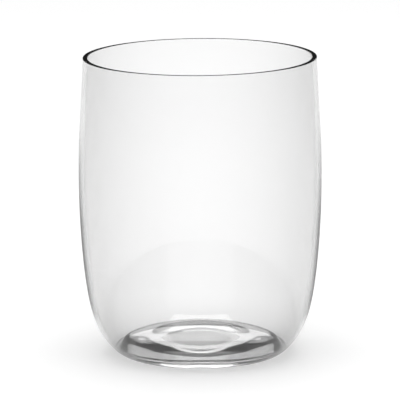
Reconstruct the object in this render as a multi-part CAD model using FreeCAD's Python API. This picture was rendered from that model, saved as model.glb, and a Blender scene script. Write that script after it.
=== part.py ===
"""Drinking glass: a barrel-shaped tumbler of clear glass, blown and pressed as one piece.

Frame: millimetres, +Z up. The origin is the centre of the foot ring, on the surface
that the glass stands on, and the whole vessel is turned about the Z axis.

Its half section is one closed outline of five curves, met end to end:

    pontil    the underside, pushed up inside the foot ring
    foot      the narrow flat ring that carries the glass
    outer     the heel, the barrel side and the straight neck under the lip
    lip       the cut edge, flat on top with its two corners just eased
    inner     the inside of the wall, the groove round the floor and the floor's dome

The curved stretches are cubic splines, each held by a short control polygon of
(radius, height) points, so curvature runs smoothly from the foot to the lip.
"""

import FreeCAD
import Part

import math
import os

# Overall sizes.
HEIGHT = 100.0          # foot ring to the top of the lip
LIP_RADIUS = 38.8       # outside of the lip

# Lip.
LIP_THICKNESS = 1.6
LIP_EASING = 0.1        # rounding of each corner of the flat top
LIP_STRAIGHT = 9.5      # height of the straight neck under the easing

# Foot ring.
FOOT_INNER_RADIUS = 24.0
FOOT_OUTER_RADIUS = 25.0

# Base.
FLOOR_DOME_HEIGHT = 9.4     # top of the domed floor above the table, on the axis
PONTIL_HEIGHT = 3.8         # how far the underside is pushed up, on the axis
GROOVE_HEIGHT = 2.6         # lowest control point of the groove round the floor

DEGREE = 3


def lip_base():
    """Height at which the straight neck meets the eased corners of the lip."""
    return HEIGHT - LIP_EASING


def outer_polygon():
    """Control points of the outside, from the foot ring up to the lip."""
    return [
        (FOOT_OUTER_RADIUS, 0.0),
        (27.4, 0.0),
        (31.2, 3.6),
        (35.1, 9.2),
        (38.1, 20.5),
        (40.2, 42.0),
        (40.8, 70.0),
        (39.1, lip_base() - LIP_STRAIGHT),
        (LIP_RADIUS, lip_base()),
    ]


def inner_polygon():
    """Control points of the inside, from the lip down to the top of the dome."""
    mouth = LIP_RADIUS - LIP_THICKNESS
    return [
        (mouth, lip_base()),
        (37.6, lip_base() - LIP_STRAIGHT),
        (39.2, 70.0),
        (38.5, 42.0),
        (36.2, 20.5),
        (33.9, 10.5),
        (30.7, 5.1),
        (28.9, 2.8),
        (27.6, GROOVE_HEIGHT),
        (25.9, 4.7),
        (24.4, 6.1),
        (18.7, 7.8),
        (10.0, 8.8),
        (3.0, FLOOR_DOME_HEIGHT),
        (0.0, FLOOR_DOME_HEIGHT),
    ]


def pontil_polygon():
    """Control points of the underside, from the axis out to the foot ring."""
    return [
        (0.0, PONTIL_HEIGHT),
        (4.0, PONTIL_HEIGHT),
        (12.0, 1.5),
        (21.9, 0.4),
        (FOOT_INNER_RADIUS, 0.0),
    ]


def point(radius, height):
    """A point of the half section, which lies in the XZ plane."""
    return FreeCAD.Vector(radius, 0.0, height)


def spline(polygon):
    """Edge of the cubic spline that a control polygon holds, with even inner knots."""
    spans = len(polygon) - DEGREE
    knots = list(range(spans + 1))
    multiplicities = [DEGREE + 1] + [1] * (spans - 1) + [DEGREE + 1]
    curve = Part.BSplineCurve()
    curve.buildFromPolesMultsKnots(
        [point(r, z) for r, z in polygon], multiplicities, knots, False, DEGREE
    )
    return curve.toShape()


def line(start, end):
    """Edge of a straight run between two (radius, height) points."""
    return Part.LineSegment(point(*start), point(*end)).toShape()


def quarter(start, centre, end):
    """Edge of a quarter circle round centre, from start to end."""
    reach = math.hypot(start[0] - centre[0], start[1] - centre[1])
    toward = (start[0] + end[0] - 2 * centre[0], start[1] + end[1] - 2 * centre[1])
    scale = reach / math.hypot(*toward)
    middle = (centre[0] + toward[0] * scale, centre[1] + toward[1] * scale)
    return Part.Arc(point(*start), point(*middle), point(*end)).toShape()


def lip_edges():
    """The lip: outer eased corner, flat top and inner eased corner."""
    outside = LIP_RADIUS
    inside = LIP_RADIUS - LIP_THICKNESS
    base = lip_base()
    return [
        quarter((outside, base), (outside - LIP_EASING, base), (outside - LIP_EASING, HEIGHT)),
        line((outside - LIP_EASING, HEIGHT), (inside + LIP_EASING, HEIGHT)),
        quarter((inside + LIP_EASING, HEIGHT), (inside + LIP_EASING, base), (inside, base)),
    ]


def half_section():
    """The closed half section of the vessel, with its straight side on the axis."""
    edges = [
        spline(pontil_polygon()),
        line((FOOT_INNER_RADIUS, 0.0), (FOOT_OUTER_RADIUS, 0.0)),
        spline(outer_polygon()),
        *lip_edges(),
        spline(inner_polygon()),
        line((0.0, FLOOR_DOME_HEIGHT), (0.0, PONTIL_HEIGHT)),
    ]
    return Part.Face(Part.Wire(edges))


def tumbler():
    """The whole vessel: its half section turned once about the Z axis."""
    solid = half_section().revolve(FreeCAD.Vector(), FreeCAD.Vector(0, 0, 1), 360)
    return solid if solid.Volume > 0 else solid.reversed()


def main():
    """Builds the vessel, writes it and prints its sizes."""
    os.makedirs("parts", exist_ok=True)
    body = tumbler()
    body.exportStep("parts/tumbler.step")
    box = body.BoundBox
    print(f"valid {body.isValid()} solids {len(body.Solids)} faces {len(body.Faces)}")
    print(f"size {box.XLength:.2f} x {box.YLength:.2f} x {box.ZLength:.2f} mm")
    print(f"glass {body.Volume / 1000:.1f} ml, {body.Volume * 2.5e-3:.0f} g")


main()
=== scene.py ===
"""A blown drinking glass on a white studio table.

The vessel is one turned form. Its half section is drawn as a chain of splines, a
Geometry Nodes tree turns that section about the upright axis and lays the slight
waviness of hand-blown glass over it, and the result stands in for the CAD solid.
Every length in the profile is in millimetres and is brought to metres once.
"""

import logging
import math
from dataclasses import dataclass, field
from enum import Enum

import bpy
from mathutils import Euler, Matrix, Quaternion, Vector


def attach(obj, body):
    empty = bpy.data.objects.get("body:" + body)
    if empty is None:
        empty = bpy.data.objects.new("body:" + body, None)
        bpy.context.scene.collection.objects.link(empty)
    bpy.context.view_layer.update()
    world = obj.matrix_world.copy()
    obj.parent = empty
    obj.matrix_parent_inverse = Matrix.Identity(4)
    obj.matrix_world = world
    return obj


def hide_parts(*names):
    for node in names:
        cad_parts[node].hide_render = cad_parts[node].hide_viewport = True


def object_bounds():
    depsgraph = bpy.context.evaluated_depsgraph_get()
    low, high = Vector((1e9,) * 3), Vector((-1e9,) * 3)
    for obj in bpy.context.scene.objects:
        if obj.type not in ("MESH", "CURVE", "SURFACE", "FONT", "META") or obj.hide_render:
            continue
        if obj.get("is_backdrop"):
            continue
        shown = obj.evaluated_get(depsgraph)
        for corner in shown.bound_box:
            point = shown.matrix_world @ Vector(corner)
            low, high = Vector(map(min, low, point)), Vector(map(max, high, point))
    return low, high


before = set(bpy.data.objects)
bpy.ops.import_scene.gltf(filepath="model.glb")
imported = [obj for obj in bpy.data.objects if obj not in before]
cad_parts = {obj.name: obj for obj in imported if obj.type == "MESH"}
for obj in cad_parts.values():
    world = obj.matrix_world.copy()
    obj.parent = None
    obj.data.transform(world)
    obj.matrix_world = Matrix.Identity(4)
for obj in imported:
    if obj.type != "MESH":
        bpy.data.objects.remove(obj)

LOG = logging.getLogger("drinking_glass")
MM = 0.001

Point = tuple[float, float]
Box = tuple[Vector, Vector]
Stops = tuple[tuple[float, float], ...]


class Body(Enum):
    """CAD bodies that a piece can ride on."""

    ROOT = "root"


class Slot(Enum):
    """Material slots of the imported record."""

    CLEAR_GLASS = "clear_glass"


class Stretch(Enum):
    """How a stretch of the half section is drawn between its points."""

    SPLINE = "NURBS"
    STRAIGHT = "POLY"


def grey_ramp(
    tree: bpy.types.NodeTree, source: bpy.types.NodeSocket, stops: Stops
) -> bpy.types.NodeSocket:
    """Maps a value to a grey through straight runs between stops.

    Args:
        tree: Node tree of a material or of the world.
        source: The value that is mapped.
        stops: Place and level of each stop, rising in place from 0 to 1.

    Returns:
        The grey.
    """
    made = tree.nodes.new("ShaderNodeValToRGB")
    while len(made.color_ramp.elements) < len(stops):
        made.color_ramp.elements.new(1.0)
    for stop, (at, level) in zip(made.color_ramp.elements, stops):
        stop.position = at
        stop.color = (level, level, level, 1.0)
    tree.links.new(source, made.inputs["Fac"])
    return made.outputs["Color"]


def combined(
    tree: bpy.types.NodeTree,
    operation: str,
    first: bpy.types.NodeSocket,
    second: bpy.types.NodeSocket | float,
) -> bpy.types.NodeSocket:
    """Combines two values with a Math node.

    Args:
        tree: Node tree of a material.
        operation: Name of the operation.
        first: First value.
        second: Second value, as a socket or a plain number.

    Returns:
        The node's output.
    """
    made = tree.nodes.new("ShaderNodeMath")
    made.operation = operation
    tree.links.new(first, made.inputs[0])
    if isinstance(second, bpy.types.NodeSocket):
        tree.links.new(second, made.inputs[1])
    else:
        made.inputs[1].default_value = second
    return made.outputs["Value"]


def height_of(
    tree: bpy.types.NodeTree, place: bpy.types.NodeSocket
) -> bpy.types.NodeSocket:
    """Splits off the Z part of a position or a direction.

    Args:
        tree: Node tree of a material or of the world.
        place: The position or direction.

    Returns:
        Its Z part.
    """
    split = tree.nodes.new("ShaderNodeSeparateXYZ")
    tree.links.new(place, split.inputs["Vector"])
    return split.outputs["Z"]


def slant_of(tree: bpy.types.NodeTree) -> bpy.types.NodeSocket:
    """Finds how far the surface slants away from the eye.

    Args:
        tree: Node tree of a material.

    Returns:
        The slant, from 0 face on to 1 edge on.
    """
    slant = tree.nodes.new("ShaderNodeLayerWeight")
    slant.inputs["Blend"].default_value = 0.5
    return slant.outputs["Facing"]


@dataclass(frozen=True)
class VesselProfile:
    """Half section of the glass, as (distance from the axis, height) in millimetres.

    The stretches run from the axis on the underside, out to the foot ring, up the
    outside, over the lip, and down the inside to the axis on the floor.

    Attributes:
        height: Foot ring to the top of the lip.
        lip_radius: Outside of the lip.
        lip_thickness: Width of the lip.
        lip_edge: Size of the eased edge at each side of the lip's flat top.
        lip_straight: Height of the straight neck under the lip.
        crisp: Short straight run beside each edge that keeps its shading sharp.
        foot_inner_radius: Inside of the flat ring that carries the glass.
        foot_outer_radius: Outside of that ring.
        groove_height: Lowest control point of the groove round the floor.
        dome_height: Top of the domed floor, on the axis.
        pontil_height: How far the underside is pushed up, on the axis.
    """

    height: float = 100.0
    lip_radius: float = 38.8
    lip_thickness: float = 1.6
    lip_edge: float = 0.1
    lip_straight: float = 9.5
    crisp: float = 0.04
    foot_inner_radius: float = 24.0
    foot_outer_radius: float = 25.0
    groove_height: float = 2.6
    dome_height: float = 9.4
    pontil_height: float = 3.8

    @property
    def lip_base(self) -> float:
        """Height at which the curved walls end, just short of the lip's eased edges."""
        return self.height - self.lip_edge - self.crisp

    @property
    def mouth_radius(self) -> float:
        """Radius of the opening at the lip."""
        return self.lip_radius - self.lip_thickness

    def pontil(self) -> list[Point]:
        """Draws the underside, from the axis out to the foot ring.

        Returns:
            Its control points.
        """
        return [
            (0.0, self.pontil_height),
            (4.0, self.pontil_height),
            (12.0, 1.5),
            (21.9, 0.4),
            (self.foot_inner_radius, 0.0),
        ]

    def outside(self) -> list[Point]:
        """Draws the outside, from the foot ring up to the lip.

        Returns:
            Its control points.
        """
        return [
            (self.foot_outer_radius, 0.0),
            (27.4, 0.0),
            (31.2, 3.6),
            (35.1, 9.2),
            (38.1, 20.5),
            (40.2, 42.0),
            (40.8, 70.0),
            (39.1, self.lip_base - self.lip_straight),
            (self.lip_radius, self.lip_base),
        ]

    def inside(self) -> list[Point]:
        """Draws the inside, from the lip down to the floor.

        Returns:
            Its control points.
        """
        return [
            (self.mouth_radius, self.lip_base),
            (37.6, self.lip_base - self.lip_straight),
            (39.2, 70.0),
            (38.5, 42.0),
            (36.2, 20.5),
            (33.9, 10.5),
            (30.7, 5.1),
            (28.9, 2.8),
            (27.6, self.groove_height),
            (25.9, 4.7),
            (24.4, 6.1),
            (18.7, 7.8),
            (10.0, 8.8),
            (3.0, self.dome_height),
            (0.0, self.dome_height),
        ]

    def foot(self) -> list[Point]:
        """The flat ring that carries the glass, with a crisp start to each side."""
        inner, outer, crisp = self.foot_inner_radius, self.foot_outer_radius, self.crisp
        return [(inner, 0.0), (inner + crisp, 0.0), (outer - crisp, 0.0), (outer, 0.0)]

    def lip(self) -> list[Point]:
        """Draws the flat-cut lip between its two eased edges, with a crisp start to each.

        Returns:
            Its corners, from the outside to the inside.
        """
        outer, inner, edge, top = self.lip_radius, self.mouth_radius, self.lip_edge, self.height
        crisp, base = self.crisp, self.height - self.lip_edge
        return [
            (outer, self.lip_base),
            (outer, base),
            (outer - edge, top),
            (outer - edge - crisp, top),
            (inner + edge + crisp, top),
            (inner + edge, top),
            (inner, base),
            (inner, self.lip_base),
        ]

    def stretches(self) -> list[tuple[Stretch, int, list[Point]]]:
        """Lists the stretches in order round the section.

        Returns:
            For each stretch its kind, its points per span and its control points.
        """
        return [
            (Stretch.SPLINE, 14, self.pontil()),
            (Stretch.STRAIGHT, 1, self.foot()),
            (Stretch.SPLINE, 12, self.outside()),
            (Stretch.STRAIGHT, 1, self.lip()),
            (Stretch.SPLINE, 12, self.inside()),
        ]


@dataclass
class ProfileCurve:
    """The half section as a curve object in the XZ plane."""

    profile: VesselProfile

    def build(self) -> bpy.types.Object:
        """Draws every stretch of the profile as a spline of one curve.

        Returns:
            The curve object, linked to the scene.
        """
        curve = bpy.data.curves.new("half_section", "CURVE")
        curve.dimensions = "3D"
        for kind, per_span, points in self.profile.stretches():
            spline = curve.splines.new(kind.value)
            spline.points.add(len(points) - 1)
            for point, (radius, height) in zip(spline.points, points):
                point.co = (radius * MM, 0.0, height * MM, 1.0)
            if kind is Stretch.SPLINE:
                spline.order_u = 4
                spline.use_endpoint_u = True
                spline.resolution_u = per_span
        section = bpy.data.objects.new("half_section", curve)
        bpy.context.scene.collection.objects.link(section)
        return section


@dataclass
class TurningTree:
    """Geometry Nodes tree that turns a half section into a blown vessel."""

    name: str = "turned_vessel"
    spindle_radius: float = 0.01
    tree: bpy.types.NodeTree = field(init=False)

    def socket(self, label: str, kind: str, value: object = None) -> None:
        """Adds one named input to the tree.

        Args:
            label: Name of the input.
            kind: Socket type.
            value: Starting value, where the type has one.
        """
        made = self.tree.interface.new_socket(label, in_out="INPUT", socket_type=kind)
        if value is not None:
            made.default_value = value

    def node(self, kind: str, **settings: object) -> bpy.types.Node:
        """Adds a node and sets its properties.

        Args:
            kind: Node type.
            settings: Properties to set, by name.

        Returns:
            The node.
        """
        made = self.tree.nodes.new(kind)
        for key, value in settings.items():
            setattr(made, key, value)
        return made

    def join(self, source: bpy.types.NodeSocket, target: bpy.types.NodeSocket) -> None:
        """Links two sockets."""
        self.tree.links.new(source, target)

    def maths(self, operation: str, *terms: object) -> bpy.types.NodeSocket:
        """Adds a Math node fed by sockets or numbers.

        Args:
            operation: Name of the operation.
            terms: Sockets or plain numbers, in the node's own order.

        Returns:
            The node's output.
        """
        made = self.node("ShaderNodeMath", operation=operation)
        for place, term in enumerate(terms):
            if isinstance(term, bpy.types.NodeSocket):
                self.join(term, made.inputs[place])
            else:
                made.inputs[place].default_value = float(term)
        return made.outputs[0]

    def build(self) -> bpy.types.NodeTree:
        """Makes the tree.

        Returns:
            The finished node tree.
        """
        self.tree = bpy.data.node_groups.new(self.name, "GeometryNodeTree")
        self.tree.is_modifier = True
        self.socket("Half Section", "NodeSocketGeometry")
        self.socket("Sides", "NodeSocketInt", 300)
        self.socket("Weld Distance", "NodeSocketFloat", 0.000002)
        self.socket("Wave Height", "NodeSocketFloat", 0.00003)
        self.socket("Wave Length", "NodeSocketFloat", 0.02)
        self.socket("Lip Lean Right", "NodeSocketFloat", 0.004)
        self.socket("Lip Lean Back", "NodeSocketFloat", -0.004)
        self.socket("Height", "NodeSocketFloat", 0.1)
        self.socket("Seed", "NodeSocketFloat", 3.0)
        self.socket("Glass", "NodeSocketMaterial")
        self.tree.interface.new_socket(
            "Vessel", in_out="OUTPUT", socket_type="NodeSocketGeometry"
        )
        given = self.node("NodeGroupInput")
        shell = self.turn(given)
        waved = self.wave(given, shell)
        leaned = self.lean(given, waved)
        self.finish(given, leaned)
        return self.tree

    def turn(self, given: bpy.types.Node) -> bpy.types.NodeSocket:
        """Sweeps the section round a spindle circle and welds it closed.

        Args:
            given: Group input node.

        Returns:
            The welded shell.
        """
        laid = self.node("GeometryNodeTransform")
        laid.inputs["Translation"].default_value = (-self.spindle_radius, 0.0, 0.0)
        laid.inputs["Rotation"].default_value = Euler((math.pi / 2, 0.0, 0.0))
        self.join(given.outputs["Half Section"], laid.inputs["Geometry"])
        spindle = self.node("GeometryNodeCurvePrimitiveCircle")
        spindle.inputs["Radius"].default_value = self.spindle_radius
        self.join(given.outputs["Sides"], spindle.inputs["Resolution"])
        swept = self.node("GeometryNodeCurveToMesh")
        self.join(spindle.outputs["Curve"], swept.inputs["Curve"])
        self.join(laid.outputs["Geometry"], swept.inputs["Profile Curve"])
        welded = self.node("GeometryNodeMergeByDistance")
        self.join(swept.outputs["Mesh"], welded.inputs["Geometry"])
        self.join(given.outputs["Weld Distance"], welded.inputs["Distance"])
        outward = self.node("GeometryNodeFlipFaces")
        self.join(welded.outputs["Geometry"], outward.inputs["Mesh"])
        return outward.outputs["Mesh"]

    def wave(
        self, given: bpy.types.Node, shell: bpy.types.NodeSocket
    ) -> bpy.types.NodeSocket:
        """Moves the surface in and out by the waviness of blown glass.

        Args:
            given: Group input node.
            shell: Welded shell.

        Returns:
            The wavy shell.
        """
        place = self.node("GeometryNodeInputPosition")
        normal = self.node("GeometryNodeInputNormal")
        noise = self.node("ShaderNodeTexNoise", noise_dimensions="4D")
        self.join(place.outputs["Position"], noise.inputs["Vector"])
        self.join(given.outputs["Seed"], noise.inputs["W"])
        self.join(self.maths("DIVIDE", 1.0, given.outputs["Wave Length"]), noise.inputs["Scale"])
        noise.inputs["Detail"].default_value = 1.0
        centred = self.maths("SUBTRACT", noise.outputs[0], 0.5)
        amount = self.maths("MULTIPLY", centred, given.outputs["Wave Height"])
        push = self.node("ShaderNodeVectorMath", operation="SCALE")
        self.join(normal.outputs["Normal"], push.inputs[0])
        self.join(amount, push.inputs["Scale"])
        moved = self.node("GeometryNodeSetPosition")
        self.join(shell, moved.inputs["Geometry"])
        self.join(push.outputs[0], moved.inputs["Offset"])
        return moved.outputs["Geometry"]

    def lean(
        self, given: bpy.types.Node, shell: bpy.types.NodeSocket
    ) -> bpy.types.NodeSocket:
        """Tips the lip a little out of level, fading to nothing at mid height.

        Args:
            given: Group input node.
            shell: Wavy shell.

        Returns:
            The shell with its lip tipped.
        """
        place = self.node("GeometryNodeInputPosition")
        split = self.node("ShaderNodeSeparateXYZ")
        self.join(place.outputs["Position"], split.inputs["Vector"])
        level = self.maths("DIVIDE", split.outputs["Z"], given.outputs["Height"])
        above = self.maths("MAXIMUM", self.maths("SUBTRACT", level, 0.5), 0.0)
        share = self.maths("MULTIPLY", above, 2.0)
        right = self.maths("MULTIPLY", split.outputs["X"], given.outputs["Lip Lean Right"])
        back = self.maths("MULTIPLY", split.outputs["Y"], given.outputs["Lip Lean Back"])
        rise = self.maths("ADD", right, back)
        offset = self.node("ShaderNodeCombineXYZ")
        self.join(self.maths("MULTIPLY", share, rise), offset.inputs["Z"])
        moved = self.node("GeometryNodeSetPosition")
        self.join(shell, moved.inputs["Geometry"])
        self.join(offset.outputs["Vector"], moved.inputs["Offset"])
        return moved.outputs["Geometry"]

    def finish(self, given: bpy.types.Node, shell: bpy.types.NodeSocket) -> None:
        """Smooths the shading, realizes and gives the glass its material.

        Args:
            given: Group input node.
            shell: Finished shell.
        """
        smooth = self.node("GeometryNodeSetShadeSmooth")
        self.join(shell, smooth.inputs["Geometry"])
        real = self.node("GeometryNodeRealizeInstances")
        self.join(smooth.outputs["Geometry"], real.inputs["Geometry"])
        dressed = self.node("GeometryNodeSetMaterial")
        self.join(real.outputs["Geometry"], dressed.inputs["Geometry"])
        self.join(given.outputs["Glass"], dressed.inputs["Material"])
        out = self.node("NodeGroupOutput")
        self.join(dressed.outputs["Geometry"], out.inputs["Vessel"])


@dataclass(frozen=True)
class ClearGlassFinish:
    """Clear soda-lime glass with faint drawn streaks and a scuffed foot ring.

    Attributes:
        clear_tint_and_edge_shade: Tint by slant, darker towards the outline: partly because a
            slanting look passes through more glass, mostly painted shade.
        painted_edge_shade_colour: Colour of the painted shade on the lower barrel's outline,
            seen along the wall.
        painted_edge_shade_slant: Share of the painted shade by slant.
        painted_edge_shade_span: Share of the painted shade by height, in metres.
        streak_stretch: Scale of the streaks along Z against that across it.
        scuff_height: Height in metres at which the scuffs of the foot end.
        scuff_patches: Levels of the grain between which a patch turns from clear to dull.
    """

    name: str = "blown_clear_glass"
    ior: float = 1.5
    clear_tint_and_edge_shade: Stops = ((0.0, 0.955), (0.775, 0.7), (0.9, 0.5), (1.0, 0.3))
    # Painted shade: a dark glass that darkens the lower barrel's outline in place of dark
    # surroundings.
    painted_edge_shade_colour: tuple[float, float, float] = (0.15, 0.15, 0.15)
    painted_edge_shade_slant: Stops = ((0.64, 0.0), (0.69, 0.1), (0.78, 0.45), (0.87, 0.75), (1.0, 0.85))
    painted_edge_shade_span: Stops = ((0.011, 0.0), (0.017, 1.0), (0.045, 1.0), (0.08, 0.0))
    streak_scale: float = 60.0
    streak_detail: float = 2.0
    streak_stretch: float = 0.12
    streak_depth: float = 0.00002
    scuff_height: float = 0.0004
    scuff_roughness: float = 0.22
    scuff_scale: float = 900.0
    scuff_detail: float = 3.0
    scuff_patches: tuple[float, float] = (0.35, 0.7)

    def build(self) -> bpy.types.Material:
        """Makes the material.

        Returns:
            The glass material.
        """
        material = bpy.data.materials.new(self.name)
        material.use_nodes = True
        tree = material.node_tree
        tree.nodes.clear()
        place = tree.nodes.new("ShaderNodeTexCoord")
        clear = tree.nodes.new("ShaderNodeBsdfPrincipled")
        clear.inputs["Transmission Weight"].default_value = 1.0
        clear.inputs["IOR"].default_value = self.ior
        # Base colour darkens with slant: a little for the longer path through the glass, mostly
        # painted shade towards the outline.
        tint_with_edge_shade = grey_ramp(tree, slant_of(tree), self.clear_tint_and_edge_shade)
        tree.links.new(tint_with_edge_shade, clear.inputs["Base Color"])
        self.streaks(tree, place.outputs["Object"], clear)
        self.scuffs(tree, place.outputs["Object"], clear)
        # Dark glass mixed in by slant on the lower outside: painted shade on the outline.
        painted_edge_shade_glass = tree.nodes.new("ShaderNodeBsdfGlass")
        painted_edge_shade_glass.inputs["Color"].default_value = (*self.painted_edge_shade_colour, 1.0)
        painted_edge_shade_glass.inputs["IOR"].default_value = self.ior
        both = tree.nodes.new("ShaderNodeMixShader")
        tree.links.new(self.painted_edge_shade_share(tree, place), both.inputs["Fac"])
        tree.links.new(clear.outputs["BSDF"], both.inputs[1])
        tree.links.new(painted_edge_shade_glass.outputs["BSDF"], both.inputs[2])
        out = tree.nodes.new("ShaderNodeOutputMaterial")
        tree.links.new(both.outputs["Shader"], out.inputs["Surface"])
        return material

    def painted_edge_shade_share(
        self, tree: bpy.types.NodeTree, place: bpy.types.Node
    ) -> bpy.types.NodeSocket:
        """Share of painted shade: a dark glass mixed in where the eye looks along the outside of
        the lower barrel, darkening its outline as dark surroundings would.

        The inside of the wall and the upper barrel have none.

        Args:
            tree: Node tree of the material.
            place: Texture coordinates.

        Returns:
            The share, from 0 to 1.
        """
        outward = tree.nodes.new("ShaderNodeVectorMath")
        outward.operation = "DOT_PRODUCT"
        tree.links.new(place.outputs["Object"], outward.inputs[0])
        tree.links.new(place.outputs["Normal"], outward.inputs[1])
        outside = combined(tree, "GREATER_THAN", outward.outputs["Value"], 0.0)
        along = grey_ramp(tree, slant_of(tree), self.painted_edge_shade_slant)
        low = grey_ramp(tree, height_of(tree, place.outputs["Object"]), self.painted_edge_shade_span)
        return combined(tree, "MULTIPLY", combined(tree, "MULTIPLY", outside, along), low)

    def streaks(
        self, tree: bpy.types.NodeTree, place: bpy.types.NodeSocket, clear: bpy.types.Node
    ) -> None:
        """Adds the faint upright streaks left by drawing the glass out.

        Args:
            tree: Node tree of the material.
            place: Object coordinates.
            clear: The clear glass shader.
        """
        stretch = tree.nodes.new("ShaderNodeMapping")
        stretch.inputs["Scale"].default_value = (1.0, 1.0, self.streak_stretch)
        tree.links.new(place, stretch.inputs["Vector"])
        noise = tree.nodes.new("ShaderNodeTexNoise")
        noise.inputs["Scale"].default_value = self.streak_scale
        noise.inputs["Detail"].default_value = self.streak_detail
        tree.links.new(stretch.outputs["Vector"], noise.inputs["Vector"])
        bump = tree.nodes.new("ShaderNodeBump")
        bump.inputs["Strength"].default_value = 1.0
        bump.inputs["Distance"].default_value = self.streak_depth
        tree.links.new(noise.outputs["Fac"], bump.inputs["Height"])
        tree.links.new(bump.outputs["Normal"], clear.inputs["Normal"])

    def scuffs(
        self, tree: bpy.types.NodeTree, place: bpy.types.NodeSocket, clear: bpy.types.Node
    ) -> None:
        """Dulls the foot ring where the glass has stood on tables.

        Args:
            tree: Node tree of the material.
            place: Object coordinates.
            clear: The clear glass shader.
        """
        near = tree.nodes.new("ShaderNodeMapRange")
        near.interpolation_type = "SMOOTHSTEP"
        near.inputs["From Min"].default_value = 0.0
        near.inputs["From Max"].default_value = self.scuff_height
        near.inputs["To Min"].default_value = 1.0
        near.inputs["To Max"].default_value = 0.0
        tree.links.new(height_of(tree, place), near.inputs["Value"])
        grain = tree.nodes.new("ShaderNodeTexNoise")
        grain.inputs["Scale"].default_value = self.scuff_scale
        grain.inputs["Detail"].default_value = self.scuff_detail
        tree.links.new(place, grain.inputs["Vector"])
        patch = tree.nodes.new("ShaderNodeMapRange")
        patch.inputs["From Min"].default_value = self.scuff_patches[0]
        patch.inputs["From Max"].default_value = self.scuff_patches[1]
        patch.inputs["To Min"].default_value = 0.0
        patch.inputs["To Max"].default_value = self.scuff_roughness
        tree.links.new(grain.outputs["Fac"], patch.inputs["Value"])
        worn = combined(tree, "MULTIPLY", near.outputs["Result"], patch.outputs["Result"])
        tree.links.new(worn, clear.inputs["Roughness"])


@dataclass
class Tumbler:
    """The drinking glass itself, one blown piece.

    Attributes:
        profile: Half section.
        finish: Glass that it is made of.
        sides: Facets round the axis.
        wave_height: Height of the surface's waviness, in millimetres.
        wave_length: Length of the waves, in millimetres.
        lip_lean_right: Rise of the lip per distance to the right.
        lip_lean_back: Rise of the lip per distance to the back.
        seed: Which waviness is drawn.
        node: CAD node that the glass stands in for.
    """

    profile: VesselProfile
    finish: ClearGlassFinish
    sides: int = 300
    wave_height: float = 0.03
    wave_length: float = 20.0
    lip_lean_right: float = 0.004
    lip_lean_back: float = -0.004
    seed: float = 3.0
    node: str = "tumbler"

    def build(self) -> bpy.types.Object:
        """Turns the vessel and puts it in the place of the CAD solid.

        Returns:
            The glass as a plain mesh object.
        """
        section = ProfileCurve(self.profile).build()
        turner = section.modifiers.new("turned vessel", "NODES")
        turner.node_group = TurningTree().build()
        self.feed(turner, self.finish.build())
        graph = bpy.context.evaluated_depsgraph_get()
        mesh = bpy.data.meshes.new_from_object(section.evaluated_get(graph))
        mesh.name = "drinking_glass"
        section.modifiers.remove(turner)
        bpy.data.objects.remove(section)
        glass = bpy.data.objects.new("drinking_glass", mesh)
        bpy.context.scene.collection.objects.link(glass)
        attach(glass, Body.ROOT.value)
        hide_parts(self.node)
        LOG.info("%s: %d faces", glass.name, len(mesh.polygons))
        return glass

    def feed(self, turner: bpy.types.Modifier, glass: bpy.types.Material) -> None:
        """Sets the modifier's inputs by their sockets' identifiers.

        Args:
            turner: The Geometry Nodes modifier.
            glass: Material of the vessel.
        """
        values = {
            "Sides": self.sides,
            "Wave Height": self.wave_height * MM,
            "Wave Length": self.wave_length * MM,
            "Lip Lean Right": self.lip_lean_right,
            "Lip Lean Back": self.lip_lean_back,
            "Height": self.profile.height * MM,
            "Seed": self.seed,
            "Glass": glass,
        }
        for item in turner.node_group.interface.items_tree:
            if item.in_out == "INPUT" and item.name in values:
                turner[item.identifier] = values[item.name]


@dataclass(frozen=True)
class WhiteTableFinish:
    """Matt white tabletop, part lit by the lamps and part a plain white ground.

    The ground share is seen by the eye and through the glass, and lights nothing.
    """

    name: str = "white_table"
    colour: tuple[float, float, float] = (0.62, 0.62, 0.62)
    ground: float = 0.45
    roughness: float = 0.75
    gloss: float = 0.1

    def build(self) -> bpy.types.Material:
        """Makes the material.

        Returns:
            The tabletop material.
        """
        material = bpy.data.materials.new(self.name)
        material.use_nodes = True
        tree = material.node_tree
        tree.nodes.clear()
        lit = tree.nodes.new("ShaderNodeBsdfPrincipled")
        lit.inputs["Base Color"].default_value = (*self.colour, 1.0)
        lit.inputs["Roughness"].default_value = self.roughness
        lit.inputs["Specular IOR Level"].default_value = self.gloss
        ground = tree.nodes.new("ShaderNodeEmission")
        tree.links.new(self.seen(tree), ground.inputs["Strength"])
        both = tree.nodes.new("ShaderNodeAddShader")
        tree.links.new(lit.outputs["BSDF"], both.inputs[0])
        tree.links.new(ground.outputs["Emission"], both.inputs[1])
        out = tree.nodes.new("ShaderNodeOutputMaterial")
        tree.links.new(both.outputs["Shader"], out.inputs["Surface"])
        return material

    def seen(self, tree: bpy.types.NodeTree) -> bpy.types.NodeSocket:
        """Keeps the ground share to rays from the eye, straight or by way of the glass.

        Args:
            tree: Node tree of the material.

        Returns:
            The strength of the ground share.
        """
        path = tree.nodes.new("ShaderNodeLightPath")
        total = path.outputs["Is Camera Ray"]
        for ray in ("Is Glossy Ray", "Is Transmission Ray"):
            total = combined(tree, "MAXIMUM", total, path.outputs[ray])
        return combined(tree, "MULTIPLY", total, self.ground)


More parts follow.
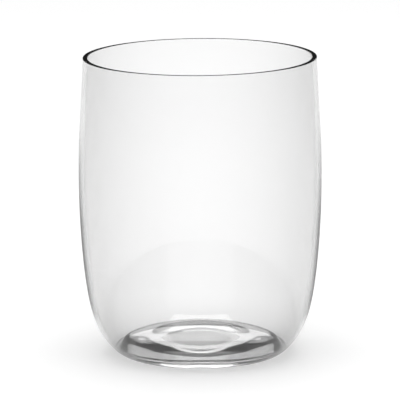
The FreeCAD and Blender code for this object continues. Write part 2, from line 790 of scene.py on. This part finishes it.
@dataclass
class Table:
    """The plain pale floor under the glass.

    Attributes:
        reach: Metres from the glass to each edge.
        gap: Millimetres between the foot and the tabletop, so that they never coincide.
    """

    finish: WhiteTableFinish
    reach: float = 8.0
    gap: float = 0.05

    def build(self, low: Vector) -> bpy.types.Object:
        """Lays the table at the foot of the glass.

        Args:
            low: Lowest corner of the CAD box, in metres.

        Returns:
            The table object.
        """
        mesh = bpy.data.meshes.new("table")
        reach = self.reach
        level = low.z - self.gap * MM
        corners = [(-reach, -reach), (reach, -reach), (reach, reach), (-reach, reach)]
        mesh.from_pydata([(x, y, level) for x, y in corners], [], [(0, 1, 2, 3)])
        mesh.materials.append(self.finish.build())
        table = bpy.data.objects.new("table", mesh)
        bpy.context.scene.collection.objects.link(table)
        table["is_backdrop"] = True
        LOG.info("table laid at %.5f m", level)
        return table


@dataclass(frozen=True)
class Softbox:
    """A flat lamp, aimed at the glass.

    Attributes:
        bearing: Degrees round from the back, to the right.
        low: Degrees above the table of its lower edge, seen from the glass.
        high: Degrees above the table of its upper edge.
        spread: Degrees to each side.
        distance: Metres from the glass.
        radiance: Brightness of its face, where 1 is white.
    """

    name: str
    bearing: float
    low: float
    high: float
    spread: float
    distance: float
    radiance: float

    def build(self) -> bpy.types.Object:
        """Hangs the lamp, facing the glass.

        Returns:
            The lamp object.
        """
        middle = math.radians((self.low + self.high) / 2)
        half = math.radians((self.high - self.low) / 2)
        turn = math.radians(self.bearing)
        toward = Vector(
            (
                math.sin(turn) * math.cos(middle),
                math.cos(turn) * math.cos(middle),
                math.sin(middle),
            )
        )
        lamp = bpy.data.lights.new(self.name, "AREA")
        lamp.shape = "RECTANGLE"
        lamp.size_y = 2 * self.distance * math.tan(half)
        lamp.size = 2 * self.distance * math.cos(middle) * math.tan(math.radians(self.spread))
        lamp.energy = self.radiance * math.pi * lamp.size * lamp.size_y
        hung = bpy.data.objects.new(self.name, lamp)
        hung.location = toward * self.distance
        hung.rotation_euler = toward.to_track_quat("Z", "Y").to_euler()
        bpy.context.scene.collection.objects.link(hung)
        return hung


@dataclass(frozen=True)
class Overhead:
    """The large level lamp above the table.

    Attributes:
        height: Metres above the table.
        side: Metres along each side.
        radiance: Brightness of its face, where 1 is white.
    """

    name: str = "overhead"
    height: float = 1.8
    side: float = 1.6
    radiance: float = 4.2

    def build(self) -> bpy.types.Object:
        """Hangs the lamp level above the glass.

        Returns:
            The lamp object.
        """
        lamp = bpy.data.lights.new(self.name, "AREA")
        lamp.shape = "SQUARE"
        lamp.size = self.side
        lamp.energy = self.radiance * math.pi * self.side * self.side
        hung = bpy.data.objects.new(self.name, lamp)
        hung.location = (0.0, 0.0, self.height)
        bpy.context.scene.collection.objects.link(hung)
        return hung


@dataclass(frozen=True)
class Surroundings:
    """The studio round the table: dark low down, pale overhead.

    Attributes:
        low: Level up to the dark edge.
        middle: Level from just above the dark edge.
        high: Level overhead.
        dark_edge: Degrees above the table at which the dark ends.
        edge_width: Rise of a direction, in parts of 1, over which it ends.
        overhead: Rises between which the level goes from middle to high.
    """

    low: float = 0.03
    middle: float = 0.08
    high: float = 0.2
    dark_edge: float = 13.0
    edge_width: float = 0.03
    overhead: tuple[float, float] = (0.7, 0.9)

    def build(self) -> None:
        """Makes the world."""
        world = bpy.data.worlds.new("studio")
        bpy.context.scene.world = world
        world.use_nodes = True
        tree = world.node_tree
        tree.nodes.clear()
        place = tree.nodes.new("ShaderNodeTexCoord")
        edge = math.sin(math.radians(self.dark_edge))
        stops = (
            (0.0, self.low),
            (edge, self.low),
            (edge + self.edge_width, self.middle),
            (self.overhead[0], self.middle),
            (self.overhead[1], self.high),
        )
        level = grey_ramp(tree, height_of(tree, place.outputs["Generated"]), stops)
        glow = tree.nodes.new("ShaderNodeBackground")
        tree.links.new(level, glow.inputs["Color"])
        out = tree.nodes.new("ShaderNodeOutputWorld")
        tree.links.new(glow.outputs["Background"], out.inputs["Surface"])


@dataclass
class Studio:
    """Lamps and surroundings."""

    lamps: list[Softbox] = field(
        default_factory=lambda: [
            Softbox("back_softbox", 2.0, 11.8, 32.0, 20.0, 5.0, 1.3),
            Softbox("low_sweep", 0.0, 1.0, 8.5, 35.0, 5.0, 0.3),
            Softbox("front_softbox", 180.0, 0.2, 50.0, 40.0, 2.6, 0.42),
        ]
    )
    overhead: Overhead = Overhead()
    surroundings: Surroundings = Surroundings()

    def build(self) -> None:
        """Hangs every lamp and makes the world."""
        for lamp in self.lamps:
            lamp.build()
        self.overhead.build()
        self.surroundings.build()
        LOG.info("studio: %d lamps", len(self.lamps) + 1)


@dataclass(frozen=True)
class Camera:
    """A long lens on a stand in front of the table.

    Attributes:
        distance: Metres from the middle of the glass.
        elevation: Degrees above level.
        focal_length: Millimetres.
        shift_x: Sideways shift of the frame, in parts of its width.
        shift_y: Upward shift of the frame.
        roll: Degrees about the line of sight.
        sensor_width: Millimetres.
        clip: Nearest and furthest distance drawn, in metres.
    """

    distance: float = 1.5
    elevation: float = 11.42
    focal_length: float = 405.27
    shift_x: float = -0.0007
    shift_y: float = 0.01178
    roll: float = -0.2
    sensor_width: float = 36.0
    clip: tuple[float, float] = (0.05, 50.0)

    def build(self, low: Vector, high: Vector) -> bpy.types.Object:
        """Sets the camera up, aimed at the middle of the glass.

        Args:
            low: Lowest corner of the CAD box, in metres.
            high: Highest corner of the CAD box, in metres.

        Returns:
            The camera object.
        """
        data = bpy.data.cameras.new("camera")
        data.sensor_width = self.sensor_width
        data.lens = self.focal_length
        data.shift_x = self.shift_x
        data.shift_y = self.shift_y
        data.clip_start, data.clip_end = self.clip
        tilt = math.radians(self.elevation)
        back = Vector((0.0, -math.cos(tilt), math.sin(tilt)))
        camera = bpy.data.objects.new("camera", data)
        middle = Vector((0.0, 0.0, (low.z + high.z) / 2))
        camera.location = middle + back * self.distance
        aim = (-back).to_track_quat("-Z", "Y")
        turn = Quaternion((0.0, 0.0, 1.0), math.radians(self.roll))
        camera.rotation_euler = (aim @ turn).to_euler()
        bpy.context.scene.collection.objects.link(camera)
        bpy.context.scene.camera = camera
        return camera


def main(cad_box: Box) -> None:
    """Builds the glass, the table, the studio and the camera.

    Args:
        cad_box: Lowest and highest corner of the CAD model, in metres.
    """
    logging.basicConfig(level=logging.INFO, format="%(name)s: %(message)s")
    bpy.context.scene.view_settings.view_transform = "Standard"
    Tumbler(VesselProfile(), ClearGlassFinish()).build()
    Table(WhiteTableFinish()).build(cad_box[0])
    Studio().build()
    Camera().build(*cad_box)


CAD_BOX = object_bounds()

if __name__ == "__main__":
    main(CAD_BOX)
